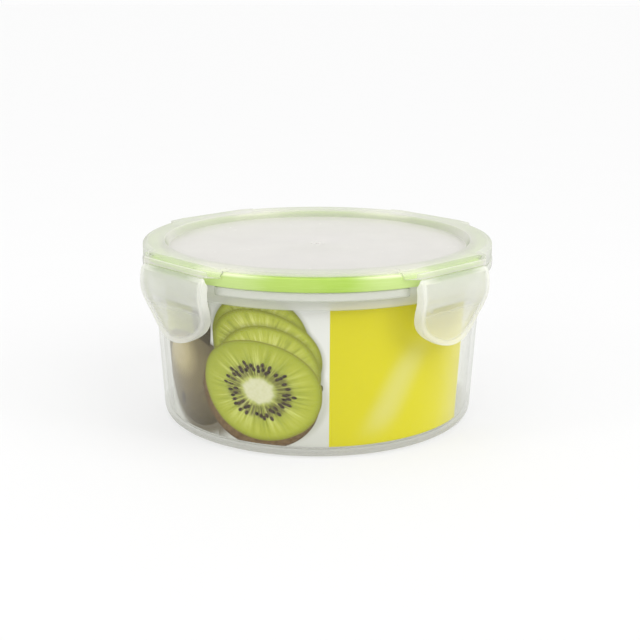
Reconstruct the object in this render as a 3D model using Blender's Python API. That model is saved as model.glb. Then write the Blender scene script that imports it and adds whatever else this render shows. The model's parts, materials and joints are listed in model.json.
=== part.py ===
"""Round snap-lid food container: a clear tub, a recessed lid with a soft seal ring, four snap clips on living
hinges, and a printed card label that stands inside the wall.

Frame: origin at the centre of the base, on the surface it stands on. +Z is up, -Y is the front, +X is the right.
Sizes are in millimetres and are turned into metres when each mesh is made.
Name endings: _R radius, _Z height, _D distance from the axis on a clip's centre line, _T thickness,
_HALF half width, _DEG degrees.
Section tables are (radius, height) points, written as small offsets from the named sizes.
"""

import math

import bmesh
import bpy
from mathutils import Vector

MM = 0.001
SHARP_DEG = 35.0  # edges steeper than this are shaded sharp

# ---- layout around the axis ----
CLIP_ANGLES = {  # direction each clip faces, degrees from +X
    "front_left": 225.0,
    "front_right": 315.0,
    "rear_right": 45.0,
    "rear_left": 135.0,
}
CLIP_CENTRES = sorted(CLIP_ANGLES.values())
SECTOR_DEG = 360.0 / len(CLIP_ANGLES)  # from one clip to the next

# ---- tub ----
FOOT_IN_R = 48.0  # inner radius of the standing ring's flat
FOOT_R = 54.9  # outer radius of the standing ring's flat
BASE_LIFT = 0.9  # how far the middle of the base is raised off the table
CORNER_R = 4.4  # outside radius between base and wall
CORNER_END_DEG = -4.0  # where the corner's arc stops, just short of vertical
CORNER_STEPS = 4
WALL_R = 59.4  # outside wall radius at WALL_Z
WALL_Z = 4.65
WALL_MID_Z = 30.0  # extra ring of points part way up the wall
DRAFT = 0.055  # wall lean, mm outward per mm up
WALL_T = 1.5
FLOOR_Z = 2.6  # inside floor
FLOOR_CORNER = 1.6  # size of the inside corner between floor and wall
LEDGE_Z = 54.2  # underside of the neck, which the latch noses hook under
NECK_R = 62.9
FLANGE_R = 66.1  # rim flange, interrupted at each clip
FLANGE_LOW_Z = 57.9
FLANGE_TOP_Z = 61.0
LIP_IN_R = 60.8  # sealing lip
LIP_OUT_R = 62.5
LIP_Z = 63.7
POCKET_HALF = 17.1  # half width of the flange gap behind a clip
POCKET_FULL_HALF = POCKET_HALF + 0.2  # where the flange is back to full size
POCKET_DEG = (-8.0, 0.0, 8.0)  # sections inside the gap
TUB_FREE_STEPS = 10  # between two gaps

# ---- seal ----
SEAL_R = 66.9
SEAL_IN_R = 59.6
SEAL_LOW_Z = 61.3  # lower edge of the outer side
SEAL_IN_LOW_Z = 61.6  # lower edge of the inner side
SEAL_IN_T = 0.7  # thickness of the inner side
SEAL_CHANNEL_Z = 64.0  # roof of the channel over the tub's lip
SEAL_CHANNEL_R = LIP_OUT_R + 0.4  # outer wall of that channel
SEAL_TOP_Z = 66.35
SEAL_HINGE_STEPS = 6  # across the part under a hinge facet
# Where the part under a hinge facet stops and the next part starts, in degrees past SHOULDER_DEG
SEAL_CHANGE_DEG = {"skirt": (-0.9, -0.45), "bare": (0.5, 0.9)}

# ---- lid ----
TOP_Z = 67.4  # top of the raised rim, and of the whole object
PANEL_Z = 64.4  # recessed panel, top face; also the height of the lid's origin
PANEL_T = 1.4
PANEL_R = 55.9
RIM_IN_R = 58.8
RIM_R = 66.5  # rim plate, outside radius, over the bare part of the seal
SKIRT_R = 65.8  # outside of the skirt that covers the seal on the left and right
SKIRT_T = 0.8
SKIRT_Z = SEAL_LOW_Z  # the skirt ends level with the seal
SKIRT_RUN_DEG = 1.5  # in which the skirt grows out of a clip's zone
BARE_RUN_DEG = 0.2  # in which the plain rim does
GROOVE_Z = 66.2  # roof of the groove that holds the seal
PLUG_R = 58.9  # plug wall that drops inside the tub's lip
PLUG_IN_R = 57.6
PLUG_Z = 59.4
LAND_D = 68.1  # flat outer face that carries a clip's hinge
LAND_IN_R = 67.25
LAND_LOW_Z = 64.7
LAND_TOP_Z = 66.1
BROW_D = LAND_D - 0.5  # bevel between the sloping facet and the land
FACET_D = 64.3  # where the sloping facet over a hinge starts
LEDGE_ROOF_R = 65.3  # where the groove's roof starts to slope down under a hinge facet
HINGE_HALF = 16.5  # half length of the hinge edge
HINGE_END_DEG = math.degrees(math.atan(HINGE_HALF / LAND_D))
SHOULDER_DEG = 18.0  # half angle of a clip's zone, shoulders included
SHOULDER_MID_DEG = 16.0  # extra section on the shoulder
SHOULDER_SLACK_DEG = 0.05  # keeps the section at SHOULDER_DEG inside the clip's zone
SHOULDER_FACET = (65.6, TOP_Z)  # radius and height of the facet, brow and land at SHOULDER_DEG
SHOULDER_BROW = (67.5, TOP_Z - 0.25)
SHOULDER_LAND = (68.0, TOP_Z - 0.7)
GATE_R = 0.9  # moulding gate mark in the middle of the panel
GATE_DISH_R = GATE_R * 2.5  # shallow dish around it
GATE_DISH_DEPTH = 0.2
FREE_STEPS = 8  # sections of lid and seal between two clip zones

# ---- clips ----
HINGE_D = 68.2  # hinge line
HINGE_Z = 63.9
WEB_T = 0.4  # living hinge
WEB_H = 0.9
WEB_HALF = 15.6
WEB_BEVEL = 0.1
CLIP_TOP_D = 69.15
CLIP_TOP_Z = 63.1
BULGE_D = 69.9  # where the clip stands out furthest over the flange
BULGE_Z = 57.5
WAIST_D = 67.15  # where it has curved back in towards the wall
WAIST_Z = 45.3
TIP_D = 68.9  # rounded finger tip
TIP_Z = 38.8
CLIP_HALF = 17.4
CLIP_CORNER = 0.8  # cut across the top corners
CLIP_ROUND_Z = 54.5  # below this the sides run into the rounded tip
CLIP_SIDE_STEPS = 7
TIP_STEPS = 10
TIP_SWEEP_DEG = 85.0  # of the quarter turn, which leaves a short flat at the tip
CLIP_BEVEL = 0.45  # around the outer face
PLATE_T = 1.2
BORDER_WIDTH = 1.2  # raised border behind the plate
BORDER_DEPTH = 3.1
BORDER_TOP_DEPTH = PLATE_T + 0.3
BORDER_TIP_DEPTH = 2.3
BORDER_TOP_RUN = 3.0  # height in which the border deepens below the top
NOSE_D = 63.15  # latch nose, inner face
NOSE_Z = 53.3  # latch nose, top
NOSE_H = 1.9
NOSE_HALF = 10.0
NOSE_ROOT = 0.55  # the nose starts this far behind the outer face, within the plate

# ---- label ----
LABEL_T = 0.35
LABEL_GAP = 0.5
LABEL_LOW_Z = 4.2
LABEL_TOP_Z = 57.0
FRONT_DEG = 270.0
LABEL_FROM_DEG = FRONT_DEG - 66.0  # left end
LABEL_TO_DEG = FRONT_DEG + 60.8  # right end
LABEL_STEPS = 26


# ---- helpers ----


def lerp(start, end, share):
    return start + (end - start) * share


def smoothstep(share):
    return share * share * (3 - 2 * share)


def wall_radius(z):
    """Outside wall radius at height z."""
    return WALL_R + (z - WALL_Z) * DRAFT


def inner_radius(z):
    """Inside wall radius at height z."""
    return wall_radius(z) - WALL_T


def covered(angle_deg):
    """True on the left and right of the container, where the lid's skirt covers the seal."""
    angle = math.radians(angle_deg)
    return abs(math.cos(angle)) > abs(math.sin(angle))


def from_polar(angle, radius, z):
    return (radius * math.cos(angle), radius * math.sin(angle), z)


def at_angle(angle_deg, profile):
    """Turn (radius, height) points into a section of (angle, radius, height) points."""
    angle = math.radians(angle_deg)
    return [(angle, radius, z) for radius, z in profile]


def add_vert(bm, x, y, z):
    return bm.verts.new((x * MM, y * MM, z * MM))


def bridge(bm, first, second):
    """Join two closed loops of vertices. Shared poles turn quads into triangles, or leave no face at all."""
    count = len(first)
    for k in range(count):
        after = (k + 1) % count
        corners = list(dict.fromkeys([first[k], first[after], second[after], second[k]]))
        if len(corners) > 2:
            bm.faces.new(corners)


def shade(mesh):
    mesh.shade_smooth()
    mesh.set_sharp_from_angle(angle=math.radians(SHARP_DEG))


def mesh_from(bm, name):
    bmesh.ops.recalc_face_normals(bm, faces=bm.faces[:])
    mesh = bpy.data.meshes.new(name)
    bm.to_mesh(mesh)
    bm.free()
    shade(mesh)
    return mesh


def ring_mesh(name, sections, origin_z=0.0):
    """Join sections of (angle, radius, height) all the way round the axis. Radius 0 is a shared pole."""
    bm = bmesh.new()
    poles = {}
    rings = []
    for section in sections:
        ring = []
        for k, (angle, radius, z) in enumerate(section):
            if radius == 0.0:
                if k not in poles:
                    poles[k] = add_vert(bm, 0.0, 0.0, z - origin_z)
                ring.append(poles[k])
            else:
                ring.append(add_vert(bm, *from_polar(angle, radius, z - origin_z)))
        rings.append(ring)
    for ring, following in zip(rings, rings[1:] + rings[:1]):
        bridge(bm, ring, following)
    return mesh_from(bm, name)


def capped_mesh(name, sections):
    """Join sections of (x, y, z) points one after the other and close both ends."""
    bm = bmesh.new()
    loops = [[add_vert(bm, *point) for point in section] for section in sections]
    for loop, following in zip(loops, loops[1:]):
        bridge(bm, loop, following)
    bm.faces.new(loops[0])
    bm.faces.new(loops[-1][::-1])
    return mesh_from(bm, name)


def bar_mesh(name, section, half_length):
    """Straight bar along x with a (y, z) section."""
    return capped_mesh(name, [[(x, y, z) for y, z in section] for x in (-half_length, half_length)])


def material(name, colour, roughness, alpha=1.0):
    mat = bpy.data.materials.new(name)
    mat.use_nodes = True
    shader = mat.node_tree.nodes["Principled BSDF"]
    shader.inputs["Base Color"].default_value = (*colour, 1.0)
    shader.inputs["Roughness"].default_value = roughness
    shader.inputs["Alpha"].default_value = alpha
    return mat


def add_object(name, mesh=None, parent=None, location=(0.0, 0.0, 0.0)):
    """Add a mesh object, or an empty if there is no mesh. The location is in millimetres."""
    obj = bpy.data.objects.new(name, mesh)
    bpy.context.scene.collection.objects.link(obj)
    obj.parent = parent
    obj.location = Vector(location) * MM
    return obj


# ---- tub ----


def tub_profile():
    """From the middle of the underside, up the outside, over the lip and down the inside."""
    corner = []
    for k in range(CORNER_STEPS + 1):
        angle = math.radians(lerp(-90.0, CORNER_END_DEG, k / CORNER_STEPS))
        corner.append((FOOT_R + CORNER_R * math.cos(angle), CORNER_R + CORNER_R * math.sin(angle)))
    return [
        (0.0, BASE_LIFT),
        (FOOT_IN_R - 0.8, BASE_LIFT),
        (FOOT_IN_R, 0.0),
        *corner,
        (wall_radius(WALL_MID_Z), WALL_MID_Z),
        (wall_radius(LEDGE_Z - 0.3), LEDGE_Z - 0.3),
        (NECK_R - 0.2, LEDGE_Z),
        (NECK_R, LEDGE_Z + 0.3),
        (NECK_R, FLANGE_LOW_Z - 0.2),
        (FLANGE_R - 0.8, FLANGE_LOW_Z),
        (FLANGE_R - 0.3, FLANGE_LOW_Z + 0.5),
        (FLANGE_R, FLANGE_TOP_Z - 0.4),
        (FLANGE_R - 0.3, FLANGE_TOP_Z),
        (LIP_OUT_R, FLANGE_TOP_Z),
        (LIP_OUT_R, LIP_Z - 0.5),
        (LIP_OUT_R - 0.5, LIP_Z),
        (LIP_IN_R + 0.4, LIP_Z),
        (LIP_IN_R, LIP_Z - 0.5),
        (LIP_IN_R, FLANGE_TOP_Z - 1.0),
        (inner_radius(LEDGE_Z), LEDGE_Z),
        (inner_radius(FLOOR_Z + FLOOR_CORNER), FLOOR_Z + FLOOR_CORNER),
        (inner_radius(FLOOR_Z) - 0.5, FLOOR_Z + 0.5),
        (inner_radius(FLOOR_Z) - FLOOR_CORNER, FLOOR_Z),
        (0.0, FLOOR_Z),
    ]


def pocket_side(centre_deg, offset, profile):
    """Section whose flange lies in a plane at a signed distance beside a clip's centre line. Everything within
    the neck's radius turns by the neck's angle."""
    centre = math.radians(centre_deg)
    return [(centre + math.asin(offset / max(radius, NECK_R)), radius, z) for radius, z in profile]


def tub_mesh():
    full = tub_profile()
    cut = [(min(radius, NECK_R) if z > LEDGE_Z else radius, z) for radius, z in full]
    edge = math.degrees(math.asin(POCKET_FULL_HALF / FLANGE_R))
    span = SECTOR_DEG - 2.0 * edge
    sections = []
    for centre in CLIP_CENTRES:
        sections.append(pocket_side(centre, -POCKET_FULL_HALF, full))
        sections.append(pocket_side(centre, -POCKET_HALF, cut))
        sections += [at_angle(centre + offset, cut) for offset in POCKET_DEG]
        sections.append(pocket_side(centre, POCKET_HALF, cut))
        sections.append(pocket_side(centre, POCKET_FULL_HALF, full))
        for k in range(1, TUB_FREE_STEPS):
            sections.append(at_angle(centre + edge + span * k / TUB_FREE_STEPS, full))
    return ring_mesh("container_body", sections)


# ---- lid ----
# The three edges below run from the rim's top face to the roof of the seal groove, with equal point counts.


def skirt_edge():
    """Rim with a skirt over the seal."""
    inside = SKIRT_R - SKIRT_T
    return [
        (63.8, TOP_Z),
        (65.2, TOP_Z - 0.4),
        (SKIRT_R - 0.1, TOP_Z - 1.4),
        (SKIRT_R, SKIRT_Z),
        (inside, SKIRT_Z),
        (inside - 0.05, GROOVE_Z - 0.7),
        (inside - 0.75, GROOVE_Z),
    ]


def bare_edge():
    """Plain rim over the bare seal."""
    return [
        (64.6, TOP_Z),
        (65.9, TOP_Z - 0.2),
        (RIM_R, TOP_Z - 0.5),
        (RIM_R, TOP_Z - 0.62),
        (RIM_R - 0.05, TOP_Z - 0.72),
        (RIM_R - 0.25, TOP_Z - 0.8),
        (65.0, GROOVE_Z),
    ]


def clip_zone_edge(delta):
    """Flat facet and land over a hinge, blending into round shoulders past the hinge's ends."""
    cosine = math.cos(math.radians(min(delta, HINGE_END_DEG)))
    past_hinge = max(0.0, delta - HINGE_END_DEG)
    blend = smoothstep(past_hinge / (SHOULDER_DEG - HINGE_END_DEG))

    def blended(distance, z, shoulder):
        return (lerp(distance / cosine, shoulder[0], blend), lerp(z, shoulder[1], blend))

    land = blended(LAND_D, LAND_TOP_Z, SHOULDER_LAND)
    return [
        blended(FACET_D, TOP_Z, SHOULDER_FACET),
        blended(BROW_D, LAND_TOP_Z + 0.35, SHOULDER_BROW),
        land,
        (land[0], LAND_LOW_Z),
        (LAND_IN_R, LAND_LOW_Z),
        (LAND_IN_R, LAND_LOW_Z + 0.3),
        (LEDGE_ROOF_R, GROOVE_Z - 0.3),
    ]


def lid_section(angle_deg):
    # degrees from the nearest clip's centre line
    delta = min(abs((angle_deg - centre + 180.0) % 360.0 - 180.0) for centre in CLIP_CENTRES)
    if delta <= SHOULDER_DEG + SHOULDER_SLACK_DEG:
        edge = clip_zone_edge(delta)
    elif covered(angle_deg):
        edge = skirt_edge()
    else:
        edge = bare_edge()
    top = [
        (0.0, PANEL_Z + 0.15),
        (GATE_R, PANEL_Z + 0.1),
        (GATE_R + 0.2, PANEL_Z - GATE_DISH_DEPTH),
        (GATE_DISH_R, PANEL_Z - GATE_DISH_DEPTH),
        (GATE_DISH_R + 0.3, PANEL_Z),
        (PANEL_R, PANEL_Z),
        (PANEL_R + 0.7, PANEL_Z + 0.25),
        (PANEL_R + 1.4, TOP_Z - 1.0),
        (PANEL_R + 2.0, TOP_Z - 0.25),
        (RIM_IN_R, TOP_Z),
    ]
    under = [
        (PLUG_R + 0.7, GROOVE_Z),
        (PLUG_R + 0.3, GROOVE_Z - 0.4),
        (PLUG_R, PLUG_Z + 0.5),
        (PLUG_R - 0.4, PLUG_Z),
        (PLUG_IN_R + 0.3, PLUG_Z),
        (PLUG_IN_R, PLUG_Z + 0.4),
        (PANEL_R + 0.7, PANEL_Z - PANEL_T - 0.4),
        (PANEL_R - 0.3, PANEL_Z - PANEL_T),
        (0.0, PANEL_Z - PANEL_T),
    ]
    return at_angle(angle_deg, top + edge + under)


def lid_free_start(side_deg):
    """Degrees from a clip's centre line to the first section of the free part that faces side_deg."""
    return SHOULDER_DEG + (SKIRT_RUN_DEG if covered(side_deg) else BARE_RUN_DEG)


def lid_mesh():
    half_zone = [HINGE_END_DEG / 2, HINGE_END_DEG, SHOULDER_MID_DEG, SHOULDER_DEG]
    zone = [-offset for offset in reversed(half_zone)] + [0.0] + half_zone
    angles = []
    for centre in CLIP_CENTRES:
        before = lid_free_start(centre - SECTOR_DEG / 2)
        after = lid_free_start(centre + SECTOR_DEG / 2)
        span = SECTOR_DEG - 2 * after
        angles += [centre + offset for offset in [-before] + zone]
        angles += [centre + after + span * k / FREE_STEPS for k in range(FREE_STEPS)]
    return ring_mesh("lid", [lid_section(angle) for angle in angles], origin_z=PANEL_Z)


# ---- seal ----


def seal_section(angle_deg, place):
    """The outer edge stands bare between the clips ("bare"), is lower where it passes under a hinge facet
    ("hinge"), and is drawn in behind the lid's skirt ("skirt")."""
    reach = SEAL_R
    if place == "bare":
        edge = [(reach, SEAL_TOP_Z - 0.6), (reach - 0.5, SEAL_TOP_Z), (65.0, GROOVE_Z - 0.35)]
    elif place == "hinge":
        edge = [
            (reach, LAND_LOW_Z - 0.25),
            (reach - 0.4, LAND_LOW_Z + 0.1),
            (LEDGE_ROOF_R - 0.4, GROOVE_Z - 0.62),
        ]
    else:
        reach = SKIRT_R - SKIRT_T - 0.45
        edge = [
            (reach, GROOVE_Z - 1.2),
            (reach - 0.35, GROOVE_Z - 0.75),
            (reach - 0.7, GROOVE_Z - 0.55),
        ]
    profile = [
        (SEAL_IN_R, SEAL_IN_LOW_Z),
        (SEAL_IN_R + SEAL_IN_T, SEAL_IN_LOW_Z),
        (SEAL_IN_R + SEAL_IN_T, SEAL_CHANNEL_Z),
        (SEAL_CHANNEL_R, SEAL_CHANNEL_Z),
        (SEAL_CHANNEL_R, SEAL_LOW_Z),
        (reach - 0.3, SEAL_LOW_Z),
        (reach, SEAL_LOW_Z + 0.4),
        *edge,
        (SEAL_IN_R + 0.5, GROOVE_Z - 0.35),
        (SEAL_IN_R, GROOVE_Z - 0.8),
    ]
    return at_angle(angle_deg, profile)


def seal_change(side_deg):
    """Kind of seal facing side_deg, then where the hinge part ends and that kind starts."""
    place = "skirt" if covered(side_deg) else "bare"
    hinge_end, free_start = SEAL_CHANGE_DEG[place]
    return place, SHOULDER_DEG + hinge_end, SHOULDER_DEG + free_start


def seal_mesh():
    """Soft ring: an upside-down channel that sits in the lid's groove and over the tub's lip."""
    sections = []
    for centre in CLIP_CENTRES:
        place_before, hinge_before, free_before = seal_change(centre - SECTOR_DEG / 2)
        place_after, hinge_after, free_after = seal_change(centre + SECTOR_DEG / 2)
        sections.append(seal_section(centre - free_before, place_before))
        for k in range(SEAL_HINGE_STEPS + 1):
            offset = lerp(-hinge_before, hinge_after, k / SEAL_HINGE_STEPS)
            sections.append(seal_section(centre + offset, "hinge"))
        span = SECTOR_DEG - 2 * free_after
        for k in range(FREE_STEPS):
            angle = centre + free_after + span * k / FREE_STEPS
            sections.append(seal_section(angle, place_after))
    return ring_mesh("gasket", sections, origin_z=PANEL_Z)


# ---- clip ----
# Clip and living hinge are built about the hinge line: x along the hinge, y outward, z up.


def clip_front(z):
    """Distance of the clip's outer face from the axis: out over the flange, in to the waist, out at the tip."""
    if z >= BULGE_Z:
        share = (CLIP_TOP_Z - z) / (CLIP_TOP_Z - BULGE_Z)
        return lerp(CLIP_TOP_D, BULGE_D, 1 - (1 - share) ** 2)
    if z >= WAIST_Z:
        return lerp(BULGE_D, WAIST_D, smoothstep((BULGE_Z - z) / (BULGE_Z - WAIST_Z)))
    share = (WAIST_Z - z) / (WAIST_Z - TIP_Z)
    return lerp(WAIST_D, TIP_D, share * share)


def border_depth(z):
    """Depth of the raised border behind the outer face."""
    if z > CLIP_TOP_Z - BORDER_TOP_RUN:
        return lerp(BORDER_TOP_DEPTH, BORDER_DEPTH, (CLIP_TOP_Z - z) / BORDER_TOP_RUN)
    if z > WAIST_Z:
        return BORDER_DEPTH
    return lerp(BORDER_DEPTH, BORDER_TIP_DEPTH, (WAIST_Z - z) / (WAIST_Z - TIP_Z))


def clip_outline(inset):
    """(half width, height) from the top of the clip down one side to the tip, moved in by inset."""
    half = CLIP_HALF - inset
    top = CLIP_TOP_Z - inset
    drop = CLIP_ROUND_Z - TIP_Z - inset
    points = [(half - CLIP_CORNER, top)]
    for k in range(CLIP_SIDE_STEPS):
        points.append((half, lerp(top - CLIP_CORNER, CLIP_ROUND_Z, k / CLIP_SIDE_STEPS)))
    for k in range(TIP_STEPS + 1):
        angle = math.radians(TIP_SWEEP_DEG * k / TIP_STEPS)
        points.append((half * math.cos(angle), CLIP_ROUND_Z - drop * math.sin(angle)))
    return points


def clip_plate_mesh():
    """Curved plate with a raised border behind it."""
    bm = bmesh.new()
    rings = [  # inset from the outline, depth behind the outer face at height z
        (CLIP_BEVEL, lambda z: 0.0),
        (0.0, lambda z: CLIP_BEVEL),
        (0.0, border_depth),
        (BORDER_WIDTH, border_depth),
        (BORDER_WIDTH, lambda z: PLATE_T),
    ]
    loops = []
    for inset, depth in rings:
        side = clip_outline(inset)
        outline = side + [(-x, z) for x, z in reversed(side)]
        loops.append(
            [add_vert(bm, x, clip_front(z) - depth(z) - HINGE_D, z - HINGE_Z) for x, z in outline]
        )
    for loop, following in zip(loops, loops[1:]):
        bridge(bm, loop, following)
    # front and back faces, as strips from side to side
    for loop in (loops[0], loops[-1]):
        for k in range(len(loop) // 2 - 1):
            bm.faces.new([loop[k], loop[k + 1], loop[-2 - k], loop[-1 - k]])
    return mesh_from(bm, "clip_plate")


def clip_nose_mesh():
    """Latch nose: a straight rib on the inner face that hooks under the neck of the tub."""
    low_z = NOSE_Z - NOSE_H
    section = [  # distance from the axis, height
        (clip_front(NOSE_Z) - NOSE_ROOT, NOSE_Z),
        (NOSE_D + 0.25, NOSE_Z),
        (NOSE_D, NOSE_Z - 0.3),
        (NOSE_D, NOSE_Z - 0.9),
        (NOSE_D + 0.5, NOSE_Z - 1.3),
        (clip_front(low_z) - NOSE_ROOT, low_z),
    ]
    local = [(distance - HINGE_D, z - HINGE_Z) for distance, z in section]
    return bar_mesh("clip_nose", local, NOSE_HALF)


def clip_mesh():
    """Plate and latch nose joined into one solid."""
    plate = add_object("clip_plate_source", clip_plate_mesh())
    nose = add_object("clip_nose_source", clip_nose_mesh())
    union = plate.modifiers.new("latch_nose", "BOOLEAN")
    union.operation = "UNION"
    union.solver = "EXACT"
    union.object = nose
    bpy.context.view_layer.update()
    depsgraph = bpy.context.evaluated_depsgraph_get()
    joined = bpy.data.meshes.new_from_object(plate.evaluated_get(depsgraph))
    joined.name = "snap_clip"
    for source in (plate, nose):
        bpy.data.objects.remove(source, do_unlink=True)
    shade(joined)
    return joined


def web_mesh():
    """Living hinge: a short thin strip along the hinge line, bevelled top and bottom."""
    high = WEB_H / 2
    side_z = high - WEB_BEVEL
    out = WEB_T / 2
    section = [(-out, -side_z), (0.0, -high), (out, -side_z), (out, side_z), (0.0, high), (-out, side_z)]
    return bar_mesh("living_hinge", section, WEB_HALF)


def add_clips(lid, clip, web):
    """A clip and its living hinge on a pivot at each hinge line."""
    for place, angle_deg in CLIP_ANGLES.items():
        angle = math.radians(angle_deg)
        pivot = add_object(
            "hinge_axis_" + place,
            parent=lid,
            location=from_polar(angle, HINGE_D, HINGE_Z - PANEL_Z),
        )
        pivot.rotation_euler = (0.0, 0.0, angle - math.pi / 2)
        add_object("clip_" + place, clip, parent=pivot)
        add_object("living_hinge_" + place, web, parent=pivot)


# ---- label ----


def label_mesh():
    """Printed card, curved to the inside of the wall and leaning with it."""
    corners = [  # height, distance behind the card's outer face
        (LABEL_LOW_Z, 0.0),
        (LABEL_TOP_Z, 0.0),
        (LABEL_TOP_Z, LABEL_T),
        (LABEL_LOW_Z, LABEL_T),
    ]
    sections = []
    for k in range(LABEL_STEPS + 1):
        angle = math.radians(lerp(LABEL_FROM_DEG, LABEL_TO_DEG, k / LABEL_STEPS))
        sections.append(
            [from_polar(angle, inner_radius(z) - LABEL_GAP - back, z) for z, back in corners]
        )
    return capped_mesh("label_insert", sections)


def with_material(mesh, *args, **settings):
    mesh.materials.append(material(*args, **settings))
    return mesh


def main():
    for obj in list(bpy.data.objects):
        bpy.data.objects.remove(obj, do_unlink=True)

    tub = with_material(
        tub_mesh(), "natural_plastic", colour=(0.80, 0.81, 0.79), roughness=0.32, alpha=0.45
    )
    label = with_material(
        label_mesh(), "printed_card", colour=(0.78, 0.71, 0.03), roughness=0.55
    )
    cover = with_material(
        lid_mesh(), "lid_plastic", colour=(0.79, 0.80, 0.77), roughness=0.38, alpha=0.6
    )
    seal = with_material(
        seal_mesh(), "soft_seal", colour=(0.53, 0.75, 0.15), roughness=0.5
    )
    clip = with_material(
        clip_mesh(), "clip_plastic", colour=(0.78, 0.80, 0.76), roughness=0.38, alpha=0.6
    )
    web = with_material(
        web_mesh(), "hinge_plastic", colour=(0.62, 0.78, 0.42), roughness=0.35, alpha=0.6
    )

    add_object("container_body", tub)
    add_object("label_insert", label)
    lid = add_object("lid", cover, location=(0.0, 0.0, PANEL_Z))
    add_object("gasket", seal, parent=lid)
    add_clips(lid, clip, web)


main()
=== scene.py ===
"""Round food tub with a clip-on lid: a clear tub, a frosted lid with four hinged clips, a green
seal and a printed card inside the wall. It stands upright with its axis on Z and its front
towards -Y; the clips are on the diagonals. Sizes are in millimetres, turned to metres by MM."""

import json
import math
from collections import namedtuple

import bmesh
import bpy
from mathutils import Matrix, Vector


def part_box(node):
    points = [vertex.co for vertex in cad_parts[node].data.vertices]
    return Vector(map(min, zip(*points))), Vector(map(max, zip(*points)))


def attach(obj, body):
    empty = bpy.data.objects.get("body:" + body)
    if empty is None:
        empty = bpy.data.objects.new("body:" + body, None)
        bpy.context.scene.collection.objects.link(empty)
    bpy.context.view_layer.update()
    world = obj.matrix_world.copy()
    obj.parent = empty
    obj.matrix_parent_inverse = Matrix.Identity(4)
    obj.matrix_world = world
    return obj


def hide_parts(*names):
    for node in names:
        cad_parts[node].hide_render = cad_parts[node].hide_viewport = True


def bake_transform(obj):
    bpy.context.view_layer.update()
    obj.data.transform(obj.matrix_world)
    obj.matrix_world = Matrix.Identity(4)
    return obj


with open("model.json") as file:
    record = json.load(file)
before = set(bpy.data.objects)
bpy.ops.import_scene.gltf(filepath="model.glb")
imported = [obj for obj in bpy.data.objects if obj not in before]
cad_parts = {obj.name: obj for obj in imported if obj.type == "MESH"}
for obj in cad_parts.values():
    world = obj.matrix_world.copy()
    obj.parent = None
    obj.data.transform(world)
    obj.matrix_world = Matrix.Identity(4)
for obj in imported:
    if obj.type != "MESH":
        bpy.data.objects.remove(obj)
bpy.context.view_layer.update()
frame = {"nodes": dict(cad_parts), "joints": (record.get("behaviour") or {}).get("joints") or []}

MM = 0.001

# ---- Sizes ----
# Endings: _R radius, _Z height, _D distance of a flat face from the axis, _T thickness
TUB_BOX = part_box("container_body")
LID_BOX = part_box("lid")
SEAL_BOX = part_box("gasket")
LABEL_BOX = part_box("label_insert")
JOINTS = {joint["name"]: joint for joint in frame["joints"]}
PLACES = ("front_left", "front_right", "rear_right", "rear_left")

# Tub: leaning wall, neck above a ledge, flange and lip; a pocket behind each clip
BASE_Z = TUB_BOX[0].z / MM
LIP_Z = TUB_BOX[1].z / MM
FLANGE_R = TUB_BOX[1].x / MM
WALL_R, WALL_Z, DRAFT, WALL_T = 59.4, 4.65, 0.055, 1.5
INNER_FLOOR_Z = 2.6
NECK_R, LEDGE_Z = 62.9, 54.2
FLANGE_Z0, FLANGE_Z1 = 57.9, 61.0
LIP_R0, LIP_R1 = 60.8, 62.5
POCKET_HALF, POCKET_STEP = 17.1, 0.25

# Lid: sunk panel, raised rim with a groove under it, a land that carries each hinge
TOP_Z = LID_BOX[1].z / MM
PLUG_Z = LID_BOX[0].z / MM
PANEL_Z, PANEL_T = TOP_Z - 3.0, 1.4
GROOVE_Z = TOP_Z - 1.2
RIM_R = 66.5
LAND_D, LAND_IN_R = 68.1, 67.25
LAND_Z0, LAND_Z1 = 64.4, 66.15
FACET_D = 64.3
HINGE_HALF = 16.5
SHOULDER = 18.0  # degrees from a clip's centre line to the end of the land
SKIRT_R, SKIRT_T, SKIRT_Z = 65.8, 0.8, 61.35
SKIRT_IN_R = SKIRT_R - SKIRT_T
SKIRT_RUN = 1.5  # degrees over which the land turns into the skirt

SEAL_Z0 = SEAL_BOX[0].z / MM
SEAL_Z1 = SEAL_BOX[1].z / MM
SEAL_R = SEAL_BOX[1].y / MM

# Card inside the wall
LABEL_Z0 = LABEL_BOX[0].z / MM - 0.3
LABEL_Z1 = LABEL_BOX[1].z / MM
LABEL_GAP, LABEL_T = 0.5, 0.35
LABEL_OVERRUN = 3.5  # degrees the card runs past the right end of the CAD card
REACH = 58.4  # mean radius of the card, so that u is millimetres along it
FRUIT_END, PICTURE_END = -36.6, 5.9  # where the first and second print areas end, along u

# Hinge lines: (angle, distance from the axis, height)
HINGES = {}
for place in PLACES:
    pivot = Vector(JOINTS["clip_" + place + "_hinge"]["pos_m"])
    HINGES[place] = (math.atan2(pivot.y, pivot.x), pivot.xy.length / MM, pivot.z / MM)
HINGE_D, HINGE_Z = HINGES["front_left"][1:]
CENTRES = sorted(math.degrees(hinge[0]) % 360.0 for hinge in HINGES.values())
HINGE_END = math.degrees(math.atan(HINGE_HALF / LAND_D))

# Clips. A (height, distance) pair is a point of the front face
CLIP_TOP, CLIP_TOP_D = 63.1, 69.05
CLIP_CREST, CLIP_CREST_D = 64.15, 68.22  # bevel above the front face, next to the hinge line
CLIP_BULGE = (57.5, 69.9)
CLIP_WAIST = (45.3, 67.15)
CLIP_TIP = (38.8, 68.9)
CLIP_HALF = 17.4
CLIP_ROUND_Z = 54.5  # the sides are straight above this and elliptical below
CLIP_DROP = CLIP_ROUND_Z - CLIP_TIP[0]
CLIP_PLATE = 1.2
CLIP_RIB = 1.15
CLIP_SIDE = 3.1
NOSE_D, NOSE_Z, NOSE_HALF = 63.15, 53.3, 10.0
WEB_D, WEB_HALF = LAND_D - 0.22, 15.9


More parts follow.
